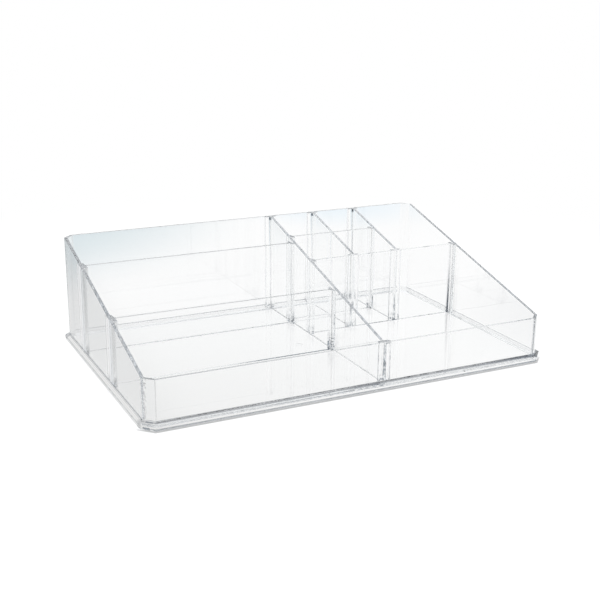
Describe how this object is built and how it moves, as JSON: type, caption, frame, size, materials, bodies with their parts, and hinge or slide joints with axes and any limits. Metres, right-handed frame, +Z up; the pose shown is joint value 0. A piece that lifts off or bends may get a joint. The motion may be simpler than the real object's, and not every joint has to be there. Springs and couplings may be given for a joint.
{
  "type": "vanity organizer",
  "caption": "Clear plastic vanity tray with a tall back, sloping sides, upright dividers in guide ribs and a stepped base.",
  "frame": {"origin": "middle of the tray's plan, on the surface that it stands on", "axes": "+X to the right along the front, +Y from the low front wall to the tall back wall, +Z up"},
  "size_m": [0.333, 0.2138, 0.0875],
  "materials": {
    "clear_base": "clear, polished",
    "clear_wall": "clear, polished",
    "clear_divider": "clear, polished"
  },
  "bodies": {
    "root": {"base": "clear_base", "back_wall": "clear_wall", "front_wall": "clear_wall", "left_wall": "clear_wall", "right_wall": "clear_wall", "corner_back_left": "clear_wall", "corner_back_right": "clear_wall", "corner_front_left": "clear_wall", "corner_front_right": "clear_wall", "main_divider": "clear_divider", "cell_divider": "clear_divider", "bay_divider": "clear_divider", "right_cross_divider": "clear_divider", "cell_cross_divider": "clear_divider", "left_front_divider": "clear_divider", "left_rear_divider": "clear_divider"}
  },
  "joints": []
}
